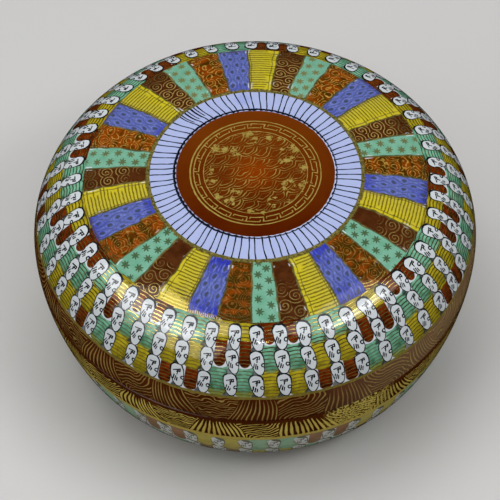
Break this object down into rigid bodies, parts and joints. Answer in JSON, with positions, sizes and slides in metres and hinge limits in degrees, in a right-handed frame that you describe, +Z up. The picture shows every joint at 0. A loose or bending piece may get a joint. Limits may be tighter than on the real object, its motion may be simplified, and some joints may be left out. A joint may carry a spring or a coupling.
{
  "type": "porcelain bonbonniere",
  "caption": "Low round covered porcelain sweet box: domed lift-off lid resting over a flanged bowl on a foot ring, with painted enamel and gilt bands.",
  "frame": {"origin": "centre of the circle on which the foot ring stands, at table height", "axes": "+Z up, along the axis on which both pieces are turned; +X to the right and +Y away from a viewer in front"},
  "size_m": [0.15, 0.15, 0.0805],
  "materials": {
    "lid_porcelain": "clear glaze over painted enamels and gilding",
    "base_porcelain": "clear glaze over painted enamels and gilding, unglazed foot"
  },
  "bodies": {
    "root": {"lid": "lid_porcelain", "base": "base_porcelain"}
  },
  "joints": []
}
